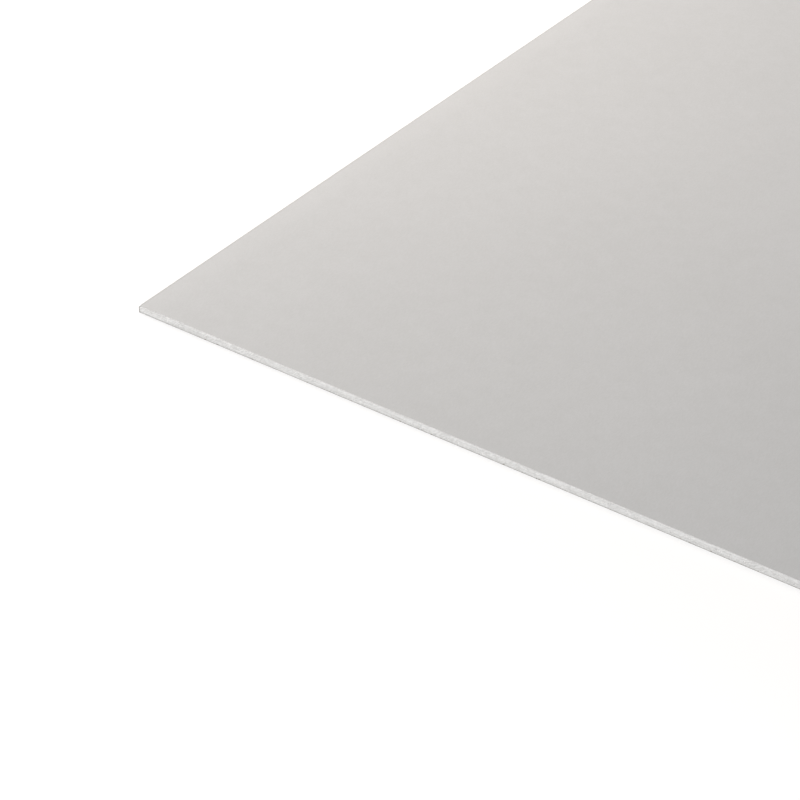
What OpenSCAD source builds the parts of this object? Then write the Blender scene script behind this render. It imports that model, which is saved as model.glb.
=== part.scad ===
// Plasterboard sheet that lies flat with its face up: square-cut ends, and long edges that
// taper down from the face and are folded round in paper.
// Width runs along X, length along Y, and the back lies on Z = 0.

/* [Sheet] */
// Width across the two tapered long edges
sheet_width = 1200; // [600:10:1250]
// Length between the two cut ends
sheet_length = 2400; // [1200:50:3600]
// Thickness away from the tapered edges
sheet_thickness = 12.5; // [9.5:0.5:19]

/* [Tapered long edges] */
// Drop of the face at the long edge, which leaves room for joint tape and filler
taper_depth = 1.8; // [0.6:0.1:2.5]
// Distance in from the long edge to the line where the ramp would meet the flat face
taper_reach = 36; // [30:1:70]
// Radius that eases the flat face into the ramp
taper_blend_radius = 400; // [100:10:500]

/* [Folded paper] */
// Radius where the paper turns down from the face over the long edge
face_fold_radius = 2; // [0.5:0.1:3]
// Radius where the paper turns in from the long edge to the back
back_fold_radius = 1; // [0.5:0.1:2]

/* [Hidden] */

// Fineness of the round stretches: the widest turn and the shortest length of a facet
$fa = 0.5;
$fs = 0.2;

// Half the width, where the long edge stands
edge_x = sheet_width / 2;
// Where the ramp would meet the flat face
crease_x = edge_x - taper_reach;
// Height that is left at the long edge
edge_height = sheet_thickness - taper_depth;
// Fall of the ramp below the level
ramp_angle = atan(taper_depth / taper_reach);
// How far a corner trim stands clear of the outline that it trims
trim_clearance = 1;
// How far a round stretch bulges past a true tangent, so that it crosses the straight ones cleanly
arc_overlap = 0.002;

// Headings of the outline, walked counter-clockwise from the back up the right-hand edge
back_heading = 0;
edge_heading = 90;
ramp_heading = 180 - ramp_angle;
face_heading = 180;

function unit(heading) = [cos(heading), sin(heading)];

// What comes off a sharp corner to round it, where the outline arrives along one heading
// and turns left to leave along another
module corner_trim(corner, arrive, leave, radius) {
    tangent = radius * tan((leave - arrive) / 2);
    start = corner - tangent * unit(arrive);
    finish = corner + tangent * unit(leave);
    out_of_start = trim_clearance * unit(arrive - 90);
    out_of_finish = trim_clearance * unit(leave - 90);

    difference() {
        polygon([
            start,
            start + out_of_start,
            corner + out_of_start + out_of_finish,
            finish + out_of_finish,
            finish
        ]);
        translate(start + radius * unit(arrive + 90))
            circle(r = radius + arc_overlap);
    }
}

// The three rounded corners of the right-hand long edge
module edge_trims() {
    corner_trim([edge_x, 0], back_heading, edge_heading, back_fold_radius);
    corner_trim([edge_x, edge_height], edge_heading, ramp_heading, face_fold_radius);
    corner_trim([crease_x, sheet_thickness], ramp_heading, face_heading, taper_blend_radius);
}

// Section across the width, with the face up
module sheet_section() {
    difference() {
        polygon([
            [-edge_x, 0],
            [edge_x, 0],
            [edge_x, edge_height],
            [crease_x, sheet_thickness],
            [-crease_x, sheet_thickness],
            [-edge_x, edge_height]
        ]);
        edge_trims();
        mirror([1, 0])
            edge_trims();
    }
}

module drywall_sheet() {
    color([0.81, 0.80, 0.79])
        rotate([90, 0, 0])
            linear_extrude(height = sheet_length, center = true)
                sheet_section();
}

drywall_sheet();
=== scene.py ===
"""Dress the drywall sheet and set it in a plain studio.

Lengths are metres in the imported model's frame: +X across the sheet, +Y along it, +Z up out of its face.
"""

import logging
import math
from dataclasses import dataclass
from enum import Enum
from typing import Any, Mapping, Optional, Sequence, Union

import bmesh
import bpy
import numpy as np
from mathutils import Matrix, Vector, noise


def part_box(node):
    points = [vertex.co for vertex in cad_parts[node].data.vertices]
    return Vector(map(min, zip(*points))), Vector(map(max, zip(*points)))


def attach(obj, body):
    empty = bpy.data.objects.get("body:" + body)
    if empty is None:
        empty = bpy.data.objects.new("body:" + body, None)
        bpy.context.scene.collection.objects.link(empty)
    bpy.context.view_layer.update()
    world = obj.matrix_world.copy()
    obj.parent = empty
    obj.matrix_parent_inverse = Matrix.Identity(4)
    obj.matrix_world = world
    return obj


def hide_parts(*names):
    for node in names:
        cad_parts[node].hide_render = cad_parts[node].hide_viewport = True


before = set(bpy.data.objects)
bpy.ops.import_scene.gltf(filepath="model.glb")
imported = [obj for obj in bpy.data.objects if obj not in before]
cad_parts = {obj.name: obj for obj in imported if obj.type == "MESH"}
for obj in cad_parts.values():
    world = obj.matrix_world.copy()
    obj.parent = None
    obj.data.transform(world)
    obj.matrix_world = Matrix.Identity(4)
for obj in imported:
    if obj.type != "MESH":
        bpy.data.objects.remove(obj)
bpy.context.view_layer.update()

LOG = logging.getLogger("drywall_sheet")
SHEET_NODE = "drywall_sheet"
SHEET_BODY = "root"
MM = 0.001

Colour = tuple[float, float, float, float]
Span = tuple[float, float]
Outline = list[tuple[float, float]]
WHITE: Colour = (1.0, 1.0, 1.0, 1.0)

# The curve of display colours: a straight toe up to its knee, and a power above it
FULL_LEVEL = 255
TOE_KNEE = 0.04045
TOE_SLOPE = 12.92
CURVE_OFFSET = 0.055
CURVE_POWER = 2.4


class Slot(Enum):
    """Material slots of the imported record."""

    FACE_PAPER = "face_paper"
    GYPSUM_CORE = "gypsum_core"
    BACK_PAPER = "back_paper"


class SheetEnd(Enum):
    """The two cut ends, by the side of the middle that each lies on along the length."""

    NEAR = -1
    FAR = 1


def srgb(red: float, green: float, blue: float) -> Colour:
    """Turn a display colour into the linear one that shaders take.

    Args:
        red: Red level, 0 to 255.
        green: Green level, 0 to 255.
        blue: Blue level, 0 to 255.

    Returns:
        The linear colour, opaque.
    """
    linear = []
    for level in (red, green, blue):
        share = level / FULL_LEVEL
        curved = ((share + CURVE_OFFSET) / (1 + CURVE_OFFSET)) ** CURVE_POWER
        linear.append(share / TOE_SLOPE if share <= TOE_KNEE else curved)
    return (linear[0], linear[1], linear[2], 1.0)


def smoothstep(low: float, high: float, values: np.ndarray) -> np.ndarray:
    """Ease values from 0 at one limit to 1 at the other.

    Args:
        low: Where the result is still 0.
        high: Where the result has reached 1.
        values: The values to ease.

    Returns:
        The eased values, 0 to 1.
    """
    share = np.clip((values - low) / (high - low), 0, 1)
    return share * share * (3 - 2 * share)


class Wire:
    """A shader socket that takes part in Python expressions."""

    def __init__(self, bench: "ShaderBench", socket: bpy.types.NodeSocket) -> None:
        """Wrap one output socket of a bench's tree."""
        self.bench = bench
        self.socket = socket

    def __add__(self, other: "Term") -> "Wire":
        """Give self + other."""
        return self.bench.combine("ADD", self, other)

    def __radd__(self, other: "Term") -> "Wire":
        """Give other + self."""
        return self.bench.combine("ADD", other, self)

    def __sub__(self, other: "Term") -> "Wire":
        """Give self - other."""
        return self.bench.combine("SUBTRACT", self, other)

    def __rsub__(self, other: "Term") -> "Wire":
        """Give other - self."""
        return self.bench.combine("SUBTRACT", other, self)

    def __mul__(self, other: "Term") -> "Wire":
        """Give self * other."""
        return self.bench.combine("MULTIPLY", self, other)

    def __rmul__(self, other: "Term") -> "Wire":
        """Give other * self."""
        return self.bench.combine("MULTIPLY", other, self)

    def __abs__(self) -> "Wire":
        """Give the size of self without its sign."""
        return self.bench.combine("ABSOLUTE", self)

    def above(self, limit: float) -> "Wire":
        """Give 1 where self is above the limit, and 0 elsewhere."""
        return self.bench.combine("GREATER_THAN", self, limit)

    def greater(self, other: "Term") -> "Wire":
        """Give the greater of self and other."""
        return self.bench.combine("MAXIMUM", self, other)

    def between(self, low: float, high: float) -> "Wire":
        """Give low where self is 0, high where it is 1, and an even run through both."""
        return low + (high - low) * self

    def ease(self, low: "Term", high: "Term") -> "Wire":
        """Ease self between two limits.

        Args:
            low: Where the result is 0. It may be the larger limit.
            high: Where the result is 1.

        Returns:
            A wire from 0 to 1.
        """
        sockets = {"Value": self, "From Min": low, "From Max": high}
        return self.bench.wire("MapRange", {"interpolation_type": "SMOOTHSTEP"}, sockets)


Term = Union[Wire, float, Sequence[float]]
Settings = Mapping[str, Any]
Sockets = Mapping[Union[str, int], Term]


class ShaderBench:
    """The node tree of one material or world, with one way of adding nodes to it."""

    MIX_FACTOR, MIX_LOW, MIX_HIGH, MIX_RESULT = 0, 6, 7, 2
    NOISE_MIDDLE = 0.5

    # The least radius and strength of a speck, as shares of the greatest
    LEAST_RADIUS = 0.25
    LEAST_STRENGTH = 0.35
    # The share of a speck's radius inside which its strength is even
    EVEN_CORE = 0.5

    def __init__(self, owner: Union[bpy.types.Material, bpy.types.World]) -> None:
        """Start an empty tree.

        Args:
            owner: The material or world that the tree belongs to.
        """
        owner.use_nodes = True
        self.tree = owner.node_tree
        self.tree.nodes.clear()

    def node(
        self,
        kind: str,
        settings: Optional[Settings] = None,
        sockets: Optional[Sockets] = None,
    ) -> bpy.types.Node:
        """Add one node.

        Args:
            kind: The node's type, without its ShaderNode prefix.
            settings: The node's own properties, which are set first.
            sockets: Values or wires for its inputs, by name or number.

        Returns:
            The new node.
        """
        made = self.tree.nodes.new(f"ShaderNode{kind}")
        for name, value in (settings or {}).items():
            setattr(made, name, value)
        for name, term in (sockets or {}).items():
            if isinstance(term, Wire):
                self.tree.links.new(term.socket, made.inputs[name])
            else:
                made.inputs[name].default_value = term
        return made

    def wire(
        self,
        kind: str,
        settings: Optional[Settings] = None,
        sockets: Optional[Sockets] = None,
        output: Union[str, int] = 0,
    ) -> Wire:
        """Add one node and wrap one of its outputs.

        Args:
            kind: The node's type, without its ShaderNode prefix.
            settings: The node's own properties.
            sockets: Values or wires for its inputs.
            output: The output to wrap, by name or number.

        Returns:
            The wrapped output.
        """
        return Wire(self, self.node(kind, settings, sockets).outputs[output])

    def combine(self, operation: str, *terms: Term) -> Wire:
        """Add the node for one step of maths on numbers, or on vectors where a term is one.

        Args:
            operation: The step's name.
            terms: Wires, numbers or vectors.

        Returns:
            The result.
        """
        kind = "Math"
        if any(isinstance(term, Wire) and term.socket.type == "VECTOR" for term in terms):
            kind = "VectorMath"
            terms = tuple((t, t, t) if isinstance(t, (int, float)) else t for t in terms)
        return self.wire(kind, {"operation": operation}, dict(enumerate(terms)))

    def blend(self, low: Union[Wire, Colour], high: Union[Wire, Colour], share: Wire) -> Wire:
        """Mix two colours.

        Args:
            low: The colour where the share is 0.
            high: The colour where the share is 1.
            share: How much of the second colour shows.

        Returns:
            The mixed colour.
        """
        sockets = {self.MIX_FACTOR: share, self.MIX_LOW: low, self.MIX_HIGH: high}
        return self.wire("Mix", {"data_type": "RGBA"}, sockets, self.MIX_RESULT)

    def place(self) -> Wire:
        """Give the place on the sheet, in metres in the model's frame."""
        return self.wire("TexCoord", output="Object")

    def axes(self, place: Wire) -> list[Wire]:
        """Split a place into its distances along the three axes."""
        split = self.node("SeparateXYZ", sockets={0: place})
        return [Wire(self, output) for output in split.outputs]

    def turned(self, place: Wire, turn: Sequence[float], size: Sequence[float]) -> Wire:
        """Turn and scale a place, for a pattern that lies across the axes.

        Args:
            place: The place to turn.
            turn: The pattern's angles about the axes, in radians.
            size: The pattern's blob size along each of its own axes.

        Returns:
            The place in the pattern's own units.
        """
        sockets = {"Vector": place, "Rotation": turn, "Scale": size}
        return self.wire("Mapping", {"vector_type": "TEXTURE"}, sockets)

    def noise(self, place: Wire, detail: float = 2.0, roughness: float = 0.5) -> Wire:
        """Add a cloudy noise of about one blob to each unit of its place.

        Args:
            place: Where to read it, already scaled.
            detail: How many finer layers it has.
            roughness: How strong the finer layers are.

        Returns:
            The noise, around NOISE_MIDDLE.
        """
        sockets = {"Vector": place, "Scale": 1.0, "Detail": detail, "Roughness": roughness}
        return self.wire("TexNoise", {"normalize": True}, sockets)

    def flecks(self, place: Wire, share: float, radius: float) -> Wire:
        """Add sparse round specks of mixed size and strength, with one cell to each unit of their place.

        Args:
            place: Where to read them, already scaled.
            share: The share of cells that hold a speck.
            radius: The largest speck's radius, in cells.

        Returns:
            Up to 1 in a speck, and 0 elsewhere.
        """
        cells = self.node("TexVoronoi", sockets={"Vector": place, "Scale": 1.0})
        draw = self.node("SeparateColor", sockets={0: Wire(self, cells.outputs["Color"])})
        chance, strength, size = (Wire(self, output) for output in draw.outputs)
        rim = radius * (size * size).between(self.LEAST_RADIUS, 1)
        spot = Wire(self, cells.outputs["Distance"]).ease(rim, self.EVEN_CORE * rim)
        return chance.above(1 - share) * spot * strength.between(self.LEAST_STRENGTH, 1)

    def surface(
        self,
        colour: Union[Wire, Colour],
        roughness: Union[Wire, float],
        height: Wire,
        relief: float,
        specular: float,
    ) -> None:
        """Close the tree with a surface shader.

        Args:
            colour: Base colour.
            roughness: Roughness, 0 to 1.
            height: Fine relief that bends the shading, 0 to 1.
            relief: What a height of 1 stands for, in metres.
            specular: Strength of the plain reflection.
        """
        bump = self.wire("Bump", sockets={"Strength": 1.0, "Distance": relief, "Height": height})
        sockets = {
            "Base Color": colour,
            "Roughness": roughness,
            "Normal": bump,
            "Specular IOR Level": specular,
        }
        self.close(self.wire("BsdfPrincipled", sockets=sockets))

    def close(self, shader: Wire, kind: str = "OutputMaterial") -> None:
        """Feed a shader to the tree's output."""
        self.node(kind, sockets={"Surface": shader})


@dataclass(frozen=True)
class PaperFinish:
    """Liner paper: fibres laid along the sheet, soft clouds in the pulp, and a few dark specks.

    A scuff and painted shade darken it towards the long edges, over a span of distances from the sheet's
    middle line.
    """

    name: str
    pale: Colour
    deep: Colour
    speck: Colour
    speck_share: float
    # The scuff colour is a scuff together with painted shade where the long edges round over
    scuff_and_shade: Colour
    scuff_and_shade_span: Span
    scuff_and_shade_strength: Span = (0.4, 1.0)
    fibre_across: float = 1.1 * MM
    fibre_along: float = 5.0 * MM
    fibre_tone: float = 0.62
    fibre_relief: float = 0.7
    cloud_width: float = 24 * MM
    cloud_tone: float = 0.2
    cloud_relief: float = 0.3
    drift_width: float = 500 * MM
    drift_tone: float = 0.18
    tone_span: Span = (0.25, 0.75)
    speck_cell: float = 6 * MM
    speck_radius: float = 0.05
    speck_strength: float = 0.6
    roughness: Span = (0.78, 0.92)
    relief: float = 0.03 * MM
    specular: float = 0.25

    def material(self) -> bpy.types.Material:
        """Make the material.

        Returns:
            The paper's material.
        """
        made = bpy.data.materials.new(self.name)
        bench = ShaderBench(made)
        place = bench.place()
        fibre_size = (1 / self.fibre_across, 1 / self.fibre_along, 1 / self.fibre_across)
        fibres = bench.noise(place * fibre_size, detail=4.0, roughness=0.6)
        clouds = bench.noise(place * (1 / self.cloud_width), detail=3.0)
        drift = bench.noise(place * (1 / self.drift_width))
        specks = bench.flecks(place * (1 / self.speck_cell), self.speck_share, self.speck_radius)
        # Painted shade: the paper darkens towards the long edges, as a scuff and as the shade of the rounded
        # edge
        scuffs_and_shade = abs(bench.axes(place)[0]).ease(*self.scuff_and_shade_span) * clouds.between(*self.scuff_and_shade_strength)
        tone = self.fibre_tone * fibres + self.cloud_tone * clouds + self.drift_tone * drift
        colour = bench.blend(self.deep, self.pale, tone.ease(*self.tone_span))
        colour = bench.blend(colour, self.speck, self.speck_strength * specks)
        colour = bench.blend(colour, self.scuff_and_shade, scuffs_and_shade)
        height = self.fibre_relief * fibres + self.cloud_relief * clouds
        bench.surface(colour, fibres.between(*self.roughness), height, self.relief, self.specular)
        return made


@dataclass(frozen=True)
class CutPaperFinish:
    """The edge of a liner where it is cut across: thin plies and loose fibre.

    A bruise and painted shade darken it towards the long edges, over a span of distances from the sheet's
    middle line.
    """

    name: str
    pale: Colour
    deep: Colour
    # The bruise colour is a bruise together with painted shade at the sheet's corners
    bruise_and_shade: Colour
    bruise_and_shade_span: Span
    ply: float = 0.12 * MM
    tuft: float = 1.5 * MM
    tone_span: Span = (0.3, 0.7)
    roughness: Span = (0.85, 0.95)
    relief: float = 0.05 * MM
    specular: float = 0.15

    def material(self) -> bpy.types.Material:
        """Make the material.

        Returns:
            The cut edge's material.
        """
        made = bpy.data.materials.new(self.name)
        bench = ShaderBench(made)
        place = bench.place()
        plies = bench.noise(place * (1 / self.tuft, 1 / self.tuft, 1 / self.ply), detail=3.0)
        # Painted shade: the cut edge darkens towards the long edges, as a bruise and as the shade at the
        # sheet's corners
        bruises_and_shade = abs(bench.axes(place)[0]).ease(*self.bruise_and_shade_span)
        colour = bench.blend(self.deep, self.pale, plies.ease(*self.tone_span))
        colour = bench.blend(colour, self.bruise_and_shade, bruises_and_shade)
        bench.surface(colour, plies.between(*self.roughness), plies, self.relief, self.specular)
        return made


@dataclass(frozen=True)
class GypsumFinish:
    """Cut gypsum: a chalky ground with fine pores in painted shade, and streaks and slanted strokes that the
    blade left.

    Dust and painted shadow darken its foot, over a span of heights, and a bruise and painted shade darken it
    at the sheet's corners, over a span of distances from the sheet's middle line.
    """

    name: str
    pale: Colour
    deep: Colour
    # The pore colour is painted shade in the pits, and the dust and bruise colours are dust and bruises
    # together with painted shade at the foot and at the corners
    pore_shade: Colour
    dust_and_shade: Colour
    dust_and_shade_span: Span
    bruise_and_shade: Colour
    bruise_and_shade_span: Span
    dust_and_shade_strength: Span = (0.3, 1.2)
    grain: float = 1.3 * MM
    grain_tone: float = 0.2
    blotch: float = 7 * MM
    blotch_tone: float = 0.2
    streak_long: float = 60 * MM
    streak_high: float = 2.6 * MM
    streak_tone: float = 0.3
    stroke_lean: float = math.radians(40)
    stroke_long: float = 9 * MM
    stroke_wide: float = 1.4 * MM
    stroke_tone: float = 0.65
    stroke_patch: float = 35 * MM
    patch_span: Span = (0.3, 0.7)
    tone_span: Span = (0.4, 0.6)
    # The pores are darkened in colour as painted shade, as well as sunk in relief
    pore_cell: float = 2.2 * MM
    pore_share: float = 0.8
    pore_radius: float = 0.24
    pore_shade_strength: float = 0.7
    pore_relief: float = 0.8
    roughness: Span = (0.86, 0.96)
    relief: float = 0.12 * MM
    specular: float = 0.2

    def tone(self, bench: ShaderBench, place: Wire, grain: Wire, blotches: Wire) -> Wire:
        """Work out how pale the ground is.

        Args:
            bench: The material's tree.
            place: The place on the sheet.
            grain: The fine grain.
            blotches: The soft blotches.

        Returns:
            The tone, around the middle of a noise.
        """
        streaks = bench.noise(place * (1 / self.streak_long, 1 / self.grain, 1 / self.streak_high))
        stroke_size = (self.stroke_long, self.grain, self.stroke_wide)
        strokes = bench.noise(bench.turned(place, (0, -self.stroke_lean, 0), stroke_size))
        patches = bench.noise(place * (1 / self.stroke_patch)).ease(*self.patch_span)
        ground = self.grain_tone * grain + self.blotch_tone * blotches + self.streak_tone * streaks
        steady = bench.NOISE_MIDDLE * (1 - self.grain_tone - self.blotch_tone - self.streak_tone)
        return ground + steady + self.stroke_tone * patches * (strokes - bench.NOISE_MIDDLE)

    def material(self) -> bpy.types.Material:
        """Make the material.

        Returns:
            The gypsum's material.
        """
        made = bpy.data.materials.new(self.name)
        bench = ShaderBench(made)
        place = bench.place()
        grain = bench.noise(place * (1 / self.grain), detail=5.0, roughness=0.65)
        blotches = bench.noise(place * (1 / self.blotch), detail=3.0)
        pores = bench.flecks(place * (1 / self.pore_cell), self.pore_share, self.pore_radius)
        across, _, up = bench.axes(place)
        # Painted shadow: the foot is darkened over the lowest heights, as dust and as the shade of the back
        # paper and the floor
        dust_and_shade = up.ease(*self.dust_and_shade_span) * blotches.between(*self.dust_and_shade_strength)
        tone = self.tone(bench, place, grain, blotches)
        colour = bench.blend(self.deep, self.pale, tone.ease(*self.tone_span))
        # Painted shade: the pores are darkened in colour as well as sunk in relief, where a pit would lie in
        # shade
        colour = bench.blend(colour, self.pore_shade, self.pore_shade_strength * pores)
        colour = bench.blend(colour, self.dust_and_shade, dust_and_shade)
        # Painted shade: the core is darkened at the sheet's corners, as a bruise and as the shade of the
        # rounded corner
        colour = bench.blend(colour, self.bruise_and_shade, abs(across).ease(*self.bruise_and_shade_span))
        height = grain - self.pore_relief * pores
        bench.surface(colour, grain.between(*self.roughness), height, self.relief, self.specular)
        return made


@dataclass(frozen=True)
class FloorFinish:
    """Pale studio floor: white to the eye, but a little lower beside the sheet, where it takes a soft shadow.

    The clear span is in distances from the sheet. Over it, the floor rises to white.
    """

    half_width: float
    half_length: float
    name: str = "studio_floor"
    bounce: Colour = (0.7, 0.7, 0.7, 1.0)
    shaded: Colour = (0.265, 0.25, 0.238, 1.0)
    glow_beside: Colour = (0.8, 0.8, 0.8, 1.0)
    clear_span: Span = (0.05, 1.0)

    def material(self) -> bpy.types.Material:
        """Make the material.

        Returns:
            The floor's material.
        """
        made = bpy.data.materials.new(self.name)
        bench = ShaderBench(made)
        plain = bench.wire("BsdfDiffuse", sockets={"Color": self.bounce})
        shaded = bench.wire("BsdfDiffuse", sockets={"Color": self.shaded})
        across, along, _ = bench.axes(bench.place())
        beside = abs(across) - self.half_width
        beyond = abs(along) - self.half_length
        apart = beside.greater(beyond).ease(*self.clear_span)
        glow = bench.wire("Emission", sockets={"Color": bench.blend(self.glow_beside, WHITE, apart)})
        looked_at = bench.wire("AddShader", sockets={0: glow, 1: shaded})
        bench.close(bench.wire("MixShader", sockets={0: eye_ray(bench), 1: plain, 2: looked_at}))
        return made


def eye_ray(bench: ShaderBench) -> Wire:
    """Tell rays that show a surface to the eye, straight or mirrored, from those that only light it.

    Args:
        bench: The tree to add the test to.

    Returns:
        1 for rays that the eye follows, and 0 for the rest.
    """
    path = bench.node("LightPath")
    kinds = ("Camera", "Glossy", "Transmission")
    camera, glossy, transmission = (Wire(bench, path.outputs[f"Is {kind} Ray"]) for kind in kinds)
    return camera.greater(glossy).greater(transmission)


@dataclass(frozen=True)
class SheetSection:
    """The sheet's outline across its width, with tapered long edges that are folded round in paper."""

    half_width: float
    thickness: float
    taper_depth: float = 1.8 * MM
    taper_reach: float = 36 * MM
    taper_blend_radius: float = 400 * MM
    face_fold_radius: float = 2 * MM
    back_fold_radius: float = 1 * MM
    face_paper: float = 0.4 * MM
    back_paper: float = 0.45 * MM
    lap_width: float = 30 * MM
    lap_shown: float = 12 * MM
    lap_ease: float = 4 * MM
    fold_steps: int = 10
    blend_steps: int = 16
    run_margin: float = 0.5 * MM
    level_margin: float = 3 * MM
    corner_crush: float = 1.1 * MM
    corner_reach: float = 7 * MM
    crush_width: float = 25 * MM
    crush_at_foot: float = 0.35
    place_decimals: int = 7

    def rounded(
        self,
        corner: Sequence[float],
        arrive: float,
        leave: float,
        radius: float,
        steps: int,
    ) -> Outline:
        """Round a corner of an outline that turns left.

        Args:
            corner: The sharp corner, across and up.
            arrive: Heading of the outline before the corner, in radians.
            leave: Heading after it.
            radius: Radius of the round.
            steps: How many straight steps stand for the round.

        Returns:
            The points of the round, in order.
        """
        tangent = radius * math.tan((leave - arrive) / 2)
        centre_x = corner[0] - tangent * math.cos(arrive) - radius * math.sin(arrive)
        centre_z = corner[1] - tangent * math.sin(arrive) + radius * math.cos(arrive)
        headings = np.linspace(arrive, leave, steps + 1)
        return [(centre_x + radius * math.sin(h), centre_z - radius * math.cos(h)) for h in headings]

    def right_edge(self, inset: float) -> Outline:
        """Outline of the right-hand long edge, from the back to where the face is level.

        Args:
            inset: How far inside the sheet's own surface the outline runs.

        Returns:
            The points, across and up.
        """
        slope = math.atan2(self.taper_depth, self.taper_reach)
        edge = self.half_width - inset
        lean = inset / math.cos(slope)
        shoulder = self.thickness - self.taper_depth + inset * math.tan(slope) - lean
        crease = self.half_width - (self.taper_depth - inset + lean) / math.tan(slope)
        up, ramp, level = math.pi / 2, math.pi - slope, math.pi
        back = self.rounded((edge, inset), 0, up, self.back_fold_radius - inset, self.fold_steps)
        face = self.rounded((edge, shoulder), up, ramp, self.face_fold_radius - inset, self.fold_steps)
        top = (crease, self.thickness - inset)
        blend = self.rounded(top, ramp, level, self.taper_blend_radius - inset, self.blend_steps)
        return back + self.run(back[-1], face[0]) + face + self.run(face[-1], blend[0]) + blend

    def run(self, start: Sequence[float], finish: Sequence[float]) -> Outline:
        """Mark both ends of a straight run, just inside it, to keep the rounds beside it out of its shading.

        Args:
            start: Where the run starts, across and up.
            finish: Where it ends.

        Returns:
            The two points.
        """
        share = self.run_margin / math.dist(start, finish)
        step_x, step_z = (share * (b - a) for a, b in zip(start, finish))
        return [(start[0] + step_x, start[1] + step_z), (finish[0] - step_x, finish[1] - step_z)]

    def right_lap(self, inset: float) -> Outline:
        """Outline of the right-hand strip of face paper that is folded in under the back paper.

        Args:
            inset: How far inside the paper's own outer side the outline runs.

        Returns:
            The points from the lap's hidden end to the fold.
        """
        lap_end = self.half_width - self.lap_width
        covered = self.half_width - self.lap_shown
        under = self.back_paper + inset
        return [(lap_end, under), (covered, under), (covered + self.lap_ease, inset)]

    def wrap(self, inset: float) -> np.ndarray:
        """Outline of the face paper from one lap over the face to the other.

        Args:
            inset: How far inside the paper's own outer side the outline runs.

        Returns:
            The points from right to left, across and up.
        """
        right = self.right_lap(inset) + self.right_edge(inset)
        right.append((right[-1][0] - self.level_margin, self.thickness - inset))
        left = [(-x, z) for x, z in reversed(right)]
        return np.array(right + left)

    def corner_shift(self, across: np.ndarray, up: np.ndarray, from_end: np.ndarray) -> np.ndarray:
        """Work out how far handling has pushed points near a corner in from the long edge.

        Args:
            across: The points' places across the sheet.
            up: Their heights.
            from_end: Their distances from the nearer cut end.

        Returns:
            What to add to the places across.
        """
        near_edge = smoothstep(self.half_width - self.crush_width, self.half_width, abs(across))
        near_end = 1 - smoothstep(0, self.corner_reach, from_end)
        strength = self.crush_at_foot + (1 - self.crush_at_foot) * up / self.thickness
        return -np.sign(across) * self.corner_crush * near_edge * near_end * strength

    def core_columns(self, pitch: float) -> tuple[np.ndarray, np.ndarray, np.ndarray]:
        """Split the core's section into upright columns.

        Args:
            pitch: Widest spacing of the columns.

        Returns:
            Each column's place across, its lowest and its highest point.
        """
        edge = self.right_edge(self.face_paper)
        floor_end = self.half_width - self.lap_width - self.lap_ease
        floor = [(0.0, self.back_paper), (floor_end, self.back_paper)]
        # The long edge parts after the back's round and the first mark of its straight run
        parting = self.fold_steps + 2
        under = np.array(floor + self.right_lap(self.face_paper) + edge[:parting])
        over = np.array(edge[parting:] + [(0.0, self.thickness - self.face_paper)])[::-1]
        evenly = np.linspace(0, over[-1, 0], math.ceil(over[-1, 0] / pitch) + 1)
        places = np.concatenate([evenly, under[:, 0], over[:, 0]])
        right = np.unique(np.round(places, self.place_decimals))
        across = np.concatenate([-right[:0:-1], right])
        low = np.interp(abs(across), under[:, 0], under[:, 1])
        high = np.interp(abs(across), over[:, 0], over[:, 1])
        return across, low, high


class SheetPiece:
    """A piece of the dressed sheet: what all pieces do once their mesh is made."""

    name: str
    slot: Slot
    sharp_above: float = math.radians(25)

    def finishes(self) -> list[bpy.types.Material]:
        """Give the piece's materials, in the order of its material indices."""
        raise NotImplementedError

    def points_and_faces(self) -> tuple[np.ndarray, list[np.ndarray]]:
        """Give the piece's points, and one array of four-sided faces for each material."""
        raise NotImplementedError

    def build(self) -> bpy.types.Object:
        """Make the piece's closed mesh and put it in the scene.

        Returns:
            The new object, without materials.
        """
        points, groups = self.points_and_faces()
        finish_numbers = np.repeat(range(len(groups)), [len(group) for group in groups])
        mesh = bpy.data.meshes.new(self.name)
        mesh.from_pydata(points.tolist(), [], np.concatenate(groups).tolist())
        mesh.polygons.foreach_set("material_index", finish_numbers)
        edit = bmesh.new()
        edit.from_mesh(mesh)
        bmesh.ops.recalc_face_normals(edit, faces=edit.faces)
        edit.to_mesh(mesh)
        edit.free()
        mesh.shade_smooth()
        mesh.set_sharp_from_angle(angle=self.sharp_above)
        made = bpy.data.objects.new(self.name, mesh)
        bpy.context.scene.collection.objects.link(made)
        return made

    def dress(self, made: bpy.types.Object) -> None:
        """Give the piece its materials and tie it to the sheet.

        Args:
            made: The piece's object.
        """
        for material in self.finishes():
            made.data.materials.append(material)
        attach(made, SHEET_BODY)
        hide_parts(SHEET_NODE)


def grid_faces(rows: np.ndarray) -> np.ndarray:
    """Join neighbouring points of a grid into four-sided faces.

    Args:
        rows: Point numbers, as a grid of rows and columns.

    Returns:
        One face a line, four point numbers each.
    """
    corners = [rows[:-1, :-1], rows[:-1, 1:], rows[1:, 1:], rows[1:, :-1]]
    return np.stack(corners, axis=-1).reshape(-1, len(corners))


def liner_faces(stations: int, count: int) -> list[np.ndarray]:
    """Faces of a liner: a strip of paper with an outer side, an inner side and four thin edges.

    Args:
        stations: How many cross-sections the liner has along the sheet.
        count: How many points each of its two sides has in a cross-section.

    Returns:
        The faces of its sides and long edges, and those of its two cut ends.
    """
    numbers = np.arange(stations * 2 * count).reshape(stations, 2, count)
    sides = [grid_faces(numbers[:, 0]), grid_faces(numbers[:, 1])]
    edges = [grid_faces(numbers[:, :, 0]), grid_faces(numbers[:, :, -1])]
    cuts = [grid_faces(numbers[0]), grid_faces(numbers[-1])]
    return [np.concatenate(sides + edges), np.concatenate(cuts)]


def edge_waves(stations: np.ndarray, wave: float, track: Sequence[float]) -> np.ndarray:
    """Draw a smooth, uneven wave along a long edge.

    Args:
        stations: Places along the sheet.
        wave: Length of a wave.
        track: Where in the noise, beside its first axis, the edge is read.

    Returns:
        The wave at each station, -1 to 1.
    """
    return np.array([noise.noise(Vector((station / wave, *track))) for station in stations])


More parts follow.
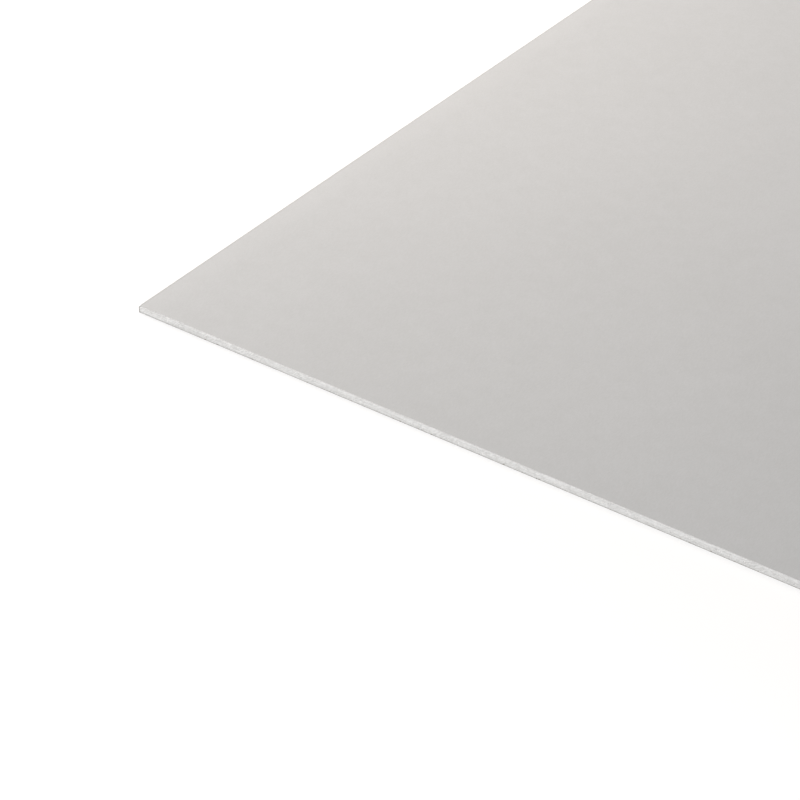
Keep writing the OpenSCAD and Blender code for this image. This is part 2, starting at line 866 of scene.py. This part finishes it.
@dataclass
class FaceLiner(SheetPiece):
    """Face paper: over the face, down the tapers, round both long edges and in under the back paper."""

    section: SheetSection
    length: float
    name: str = "face_liner"
    slot: Slot = Slot.FACE_PAPER
    station_pitch: float = 25 * MM
    corner_steps: int = 6
    ripple: float = 0.12 * MM
    ripple_length: float = 160 * MM
    ripple_reach: float = 25 * MM
    # Where in the noise the ripple is read
    ripple_track: float = 7.0
    # The scuff and bruise reaches set where painted shade, along with wear, darkens the long edges and the
    # corners
    scuff_and_shade_reach: float = 5.5 * MM
    scuff_and_shade_full: float = 1 * MM
    bruise_and_shade_reach: float = 3.5 * MM
    bruise_and_shade_full: float = 1.5 * MM

    def finishes(self) -> list[bpy.types.Material]:
        """Make the pale face paper and its cut edge.

        Returns:
            The two materials, in the order of the piece's material indices.
        """
        edge = self.section.half_width
        paper = PaperFinish(
            name="face_paper",
            pale=srgb(210, 209, 208),
            deep=srgb(201, 200, 198),
            speck=srgb(150, 144, 136),
            speck_share=0.05,
            # The scuff colour stands for a scuff and for painted shade along the rounded long edge
            scuff_and_shade=srgb(186, 184, 180),
            scuff_and_shade_span=(edge - self.scuff_and_shade_reach, edge - self.scuff_and_shade_full),
        )
        cut = CutPaperFinish(
            name="face_paper_cut",
            pale=srgb(232, 230, 227),
            deep=srgb(218, 215, 211),
            # The bruise colour stands for a bruise and for painted shade at the sheet's corners
            bruise_and_shade=srgb(172, 168, 163),
            bruise_and_shade_span=(edge - self.bruise_and_shade_reach, edge - self.bruise_and_shade_full),
        )
        return [paper.material(), cut.material()]

    def points_and_faces(self) -> tuple[np.ndarray, list[np.ndarray]]:
        """Lay out the liner, station by station along the sheet.

        Returns:
            Its points, and its paper faces and cut faces.
        """
        section, half = self.section, self.length / 2
        evenly = np.linspace(-half, half, round(self.length / self.station_pitch) + 1)
        corners = half - np.linspace(0, section.corner_reach, self.corner_steps)
        stations = np.unique(np.concatenate([evenly, -corners, corners]))
        sides = np.stack([section.wrap(0), section.wrap(section.face_paper)])
        points = np.zeros((len(stations), *sides.shape[:2], 3))
        points[..., 0] = sides[..., 0]
        points[..., 1] = stations[:, None, None]
        points[..., 2] = sides[..., 1]
        ripple_from = section.half_width - self.ripple_reach
        near_edge = smoothstep(ripple_from, section.half_width, abs(points[..., 0]))
        for side in (-1, 1):
            waves = edge_waves(stations, self.ripple_length, (self.ripple_track * side, 0))
            pull = self.ripple * (1 + waves)[:, None, None] / 2
            points[..., 0] -= np.where(np.sign(points[..., 0]) == side, side * pull * near_edge, 0)
        from_end = half - abs(points[..., 1])
        points[..., 0] += section.corner_shift(points[..., 0], points[..., 2], from_end)
        return points.reshape(-1, 3), liner_faces(len(stations), sides.shape[1])


@dataclass
class BackLiner(SheetPiece):
    """Back paper: a plain strip that covers the face paper's folded-in margins, short of the long edges."""

    section: SheetSection
    length: float
    name: str = "back_liner"
    slot: Slot = Slot.BACK_PAPER
    station_pitch: float = 12 * MM
    columns: int = 9
    wander: float = 0.5 * MM
    wander_length: float = 70 * MM
    # Where in the noise the wander is read
    wander_track: float = 5.0
    scuff_and_shade_reach: float = 3 * MM
    bruise_and_shade_reach: float = 4 * MM

    def finishes(self) -> list[bpy.types.Material]:
        """Make the greyer back paper and its cut edge.

        Returns:
            The two materials, in the order of the piece's material indices.
        """
        edge = self.section.half_width - self.section.lap_shown
        paper = PaperFinish(
            name="back_paper",
            pale=srgb(186, 178, 167),
            deep=srgb(150, 141, 129),
            speck=srgb(92, 82, 70),
            speck_share=0.4,
            speck_radius=0.09,
            scuff_and_shade=srgb(150, 140, 127),
            scuff_and_shade_span=(edge - self.scuff_and_shade_reach, edge),
        )
        cut = CutPaperFinish(
            name="back_paper_cut",
            pale=srgb(208, 205, 201),
            deep=srgb(188, 185, 181),
            bruise_and_shade=srgb(140, 136, 131),
            bruise_and_shade_span=(edge - self.bruise_and_shade_reach, edge),
        )
        return [paper.material(), cut.material()]

    def points_and_faces(self) -> tuple[np.ndarray, list[np.ndarray]]:
        """Lay out the liner, station by station along the sheet.

        Returns:
            Its points, and its paper faces and cut faces.
        """
        half = self.length / 2
        stations = np.linspace(-half, half, round(self.length / self.station_pitch) + 1)
        edge = self.section.half_width - self.section.lap_shown
        points = np.zeros((len(stations), 2, self.columns, 3))
        points[..., 0] = np.linspace(-edge, edge, self.columns)
        points[..., 1] = stations[:, None, None]
        points[:, 1, :, 2] = self.section.back_paper
        for column, side in ((0, -1), (-1, 1)):
            waves = edge_waves(stations, self.wander_length, (0, self.wander_track * side))
            points[:, :, column, 0] += self.wander * waves[:, None]
        return points.reshape(-1, 3), liner_faces(len(stations), self.columns)


@dataclass
class GypsumCore(SheetPiece):
    """Gypsum between the liners, with the crumbly grain and small voids of a cut end at both ends."""

    section: SheetSection
    length: float
    name: str = "gypsum_core"
    slot: Slot = Slot.GYPSUM_CORE
    pitch: float = 0.6 * MM
    rows: int = 21
    recess: float = 0.22 * MM
    crumb: float = 0.2 * MM
    crumb_size: float = 4 * MM
    crumb_layers: int = 4
    # Each layer of crumbs is finer than the last by the step, and weaker by the step to the power of the fade
    crumb_step: float = 2.1
    crumb_fade: float = 0.7
    # Where in the noise the crumbs are read
    crumb_track: float = 40.0
    void_count: int = 600
    void_radius: Span = (0.8 * MM, 1.8 * MM)
    void_share: Span = (0.5, 1)
    void_depth: float = 0.7
    # Painted shade: the dust darkens the foot where the back paper and floor shade it, and the bruise darkens
    # the corners where they round into shade
    dust_and_shade_height: float = 3 * MM
    bruise_and_shade_reach: float = 3.2 * MM
    bruise_and_shade_full: float = 1.2 * MM
    seed: int = 12

    def finishes(self) -> list[bpy.types.Material]:
        """Make the cut gypsum.

        Returns:
            The one material.
        """
        edge = self.section.half_width
        finish = GypsumFinish(
            name="cut_gypsum",
            pale=srgb(249, 247, 245),
            deep=srgb(226, 224, 221),
            # The pore colour is painted shade in the pits, the dust colour dust and painted shadow at the
            # foot, and the bruise colour a bruise and painted shade at the corners
            pore_shade=srgb(190, 187, 185),
            dust_and_shade=srgb(222, 220, 217),
            dust_and_shade_span=(self.dust_and_shade_height, self.section.back_paper),
            bruise_and_shade=srgb(186, 183, 180),
            bruise_and_shade_span=(edge - self.bruise_and_shade_reach, edge - self.bruise_and_shade_full),
        )
        return [finish.material()]

    def crumbs(self, across: np.ndarray, up: np.ndarray, end: SheetEnd) -> np.ndarray:
        """Draw the crumbly grain of a cut end.

        Args:
            across: Place of each grid point across the sheet.
            up: Height of each grid point.
            end: Which of the two ends.

        Returns:
            The grain at each grid point, -1 to 1.
        """
        track = self.crumb_track * end.value
        grain = np.zeros(across.shape)
        for place in np.ndindex(across.shape):
            where = Vector((across[place] / self.crumb_size, track, up[place] / self.crumb_size))
            grain[place] = noise.fractal(where, self.crumb_fade, self.crumb_step, self.crumb_layers)
        return np.clip(grain, -1, 1)

    def cut_relief(
        self,
        across: np.ndarray,
        up: np.ndarray,
        end: SheetEnd,
        random: np.random.Generator,
    ) -> np.ndarray:
        """Work out how far a cut end lies inside the plane of the cut.

        Args:
            across: Place of each grid point across the sheet.
            up: Height of each grid point.
            end: Which of the two ends.
            random: Source of the voids' places and sizes.

        Returns:
            The depth at each grid point.
        """
        depth = self.recess + self.crumb * self.crumbs(across, up, end)
        reach = self.section.half_width
        for _ in range(self.void_count):
            void_x = random.uniform(-reach, reach)
            void_z = random.uniform(0, self.section.thickness)
            radius = random.uniform(*self.void_radius) * random.uniform(*self.void_share)
            first, last = np.searchsorted(across[0], [void_x - radius, void_x + radius])
            near = (slice(None), slice(first, last))
            apart = np.hypot(across[near] - void_x, up[near] - void_z) / radius
            depth[near] += self.void_depth * radius * np.clip(1 - apart * apart, 0, 1)
        return np.maximum(depth, 0)

    def points_and_faces(self) -> tuple[np.ndarray, list[np.ndarray]]:
        """Lay out the core as a grid at each cut end, and join the two.

        Returns:
            Its points and its faces.
        """
        columns, low, high = self.section.core_columns(self.pitch)
        share = np.linspace(0, 1, self.rows)[:, None]
        up = low + (high - low) * share
        across = np.broadcast_to(columns, up.shape)
        random = np.random.default_rng(self.seed)
        ends = []
        for end in SheetEnd:
            depth = self.cut_relief(across, up, end, random)
            along = end.value * (self.length / 2 - depth)
            crushed = across + self.section.corner_shift(across, up, depth)
            ends.append(np.stack([crushed, along, up], axis=-1))
        points = np.stack(ends)
        numbers = np.arange(points[..., 0].size).reshape(points.shape[:3])
        sides = [numbers[:, 0], numbers[:, -1], numbers[:, :, 0], numbers[:, :, -1]]
        faces = [grid_faces(grid) for grid in (numbers[0], numbers[1], *sides)]
        return points.reshape(-1, 3), [np.concatenate(faces)]


@dataclass(frozen=True)
class SoftLamp:
    """A soft box, placed and aimed by distances from the sheet's near corner."""

    name: str
    place: tuple[float, float, float]
    aim: tuple[float, float, float]
    size: tuple[float, float]
    watts: float
    colour: tuple[float, float, float] = (1.0, 1.0, 1.0)

    def build(self, corner: Vector) -> bpy.types.Object:
        """Make the lamp.

        Args:
            corner: The sheet's near corner on the floor.

        Returns:
            The lamp's object.
        """
        lamp = bpy.data.lights.new(self.name, "AREA")
        lamp.shape = "RECTANGLE"
        lamp.size, lamp.size_y = self.size
        lamp.energy = self.watts
        lamp.color = self.colour
        made = bpy.data.objects.new(self.name, lamp)
        made.location = corner + Vector(self.place)
        made.rotation_mode = "QUATERNION"
        made.rotation_quaternion = (Vector(self.aim) - Vector(self.place)).to_track_quat("-Z", "Y")
        made.visible_camera = False
        bpy.context.scene.collection.objects.link(made)
        return made


@dataclass(frozen=True)
class PhotoCamera:
    """The photograph's camera, aimed at a point on the floor by distances from the sheet's near corner."""

    name: str = "photo_camera"
    lens_mm: float = 100.0
    sensor_mm: float = 36.0
    azimuth_deg: float = 35.475
    elevation_deg: float = 35.5
    distance: float = 2.965
    aim_across: float = 0.4245
    aim_along: float = 0.04

    def build(self, corner: Vector) -> bpy.types.Object:
        """Make the camera and set it as the scene's.

        Args:
            corner: The sheet's near corner on the floor.

        Returns:
            The camera's object.
        """
        turn, tilt = math.radians(self.azimuth_deg), math.radians(self.elevation_deg)
        level = math.cos(tilt)
        back = Vector((math.sin(turn) * level, -math.cos(turn) * level, math.sin(tilt)))
        data = bpy.data.cameras.new(self.name)
        data.lens = self.lens_mm
        data.sensor_width = self.sensor_mm
        made = bpy.data.objects.new(self.name, data)
        made.location = corner + Vector((self.aim_across, self.aim_along, 0)) + back * self.distance
        made.rotation_mode = "QUATERNION"
        made.rotation_quaternion = (-back).to_track_quat("-Z", "Y")
        bpy.context.scene.collection.objects.link(made)
        bpy.context.scene.camera = made
        return made


@dataclass(frozen=True)
class Studio:
    """A pale floor, an even sky, five soft boxes and the camera."""

    corner: Vector
    far_corner: Vector
    floor_half: float = 60.0
    floor_gap: float = 0.1 * MM
    sky_light: Colour = (0.250, 0.265, 0.280, 1.0)
    lamps: tuple[SoftLamp, ...] = (
        SoftLamp(
            name="key_box",
            place=(-3.8, 0.9, 1.9),
            aim=(0.3, 1.0, 0.0),
            size=(1.5, 1.5),
            watts=122.0,
        ),
        SoftLamp(
            name="top_box",
            place=(-0.8, 1.2, 2.1),
            aim=(0.5, 0.6, 0.0),
            size=(1.6, 1.6),
            watts=32.5,
            colour=(1.0, 0.912, 0.841),
        ),
        SoftLamp(
            name="front_box",
            place=(0.5, -2.6, 0.7),
            aim=(0.5, 0.0, 0.0),
            size=(2.2, 0.8),
            watts=37.0,
        ),
        SoftLamp(
            name="back_box",
            place=(0.6, 5.2, 0.8),
            aim=(0.6, 2.4, 0.0),
            size=(2.2, 0.8),
            watts=20.0,
        ),
        SoftLamp(
            name="side_box",
            place=(2.9, 1.8, 0.45),
            aim=(1.2, 1.8, 0.0),
            size=(2.0, 0.6),
            watts=9.0,
        ),
    )

    def floor(self) -> bpy.types.Object:
        """Make the floor.

        Returns:
            The floor's object.
        """
        reach = self.floor_half
        corners = [(-reach, -reach), (reach, -reach), (reach, reach), (-reach, reach)]
        mesh = bpy.data.meshes.new("studio_floor")
        mesh.from_pydata([(x, y, -self.floor_gap) for x, y in corners], [], [(0, 1, 2, 3)])
        mesh.materials.append(FloorFinish(self.far_corner.x, self.far_corner.y).material())
        made = bpy.data.objects.new("studio_floor", mesh)
        bpy.context.scene.collection.objects.link(made)
        return made

    def sky(self) -> bpy.types.World:
        """Make the even sky: a plain level for light, and white where the eye sees it.

        Returns:
            The scene's world.
        """
        world = bpy.data.worlds.new("studio_sky")
        bench = ShaderBench(world)
        colour = bench.blend(self.sky_light, WHITE, eye_ray(bench))
        bench.close(bench.wire("Background", sockets={"Color": colour}), "OutputWorld")
        bpy.context.scene.world = world
        return world

    def build(self) -> None:
        """Make the floor, the sky, the lamps and the camera."""
        self.floor()
        self.sky()
        for lamp in self.lamps:
            lamp.build(self.corner)
        PhotoCamera().build(self.corner)
        bpy.context.scene.view_settings.view_transform = "Standard"


def main() -> None:
    """Build the sheet's pieces and the studio, and report each piece."""
    logging.basicConfig(level=logging.INFO, format="%(name)s: %(message)s")
    low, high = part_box(SHEET_NODE)
    size = high - low
    section = SheetSection(half_width=size.x / 2, thickness=size.z)
    for piece in (FaceLiner(section, size.y), BackLiner(section, size.y), GypsumCore(section, size.y)):
        made = piece.build()
        piece.dress(made)
        LOG.info("%s: %d faces, slot %s", made.name, len(made.data.polygons), piece.slot.value)
    Studio(corner=low, far_corner=high).build()


if __name__ == "__main__":
    main()
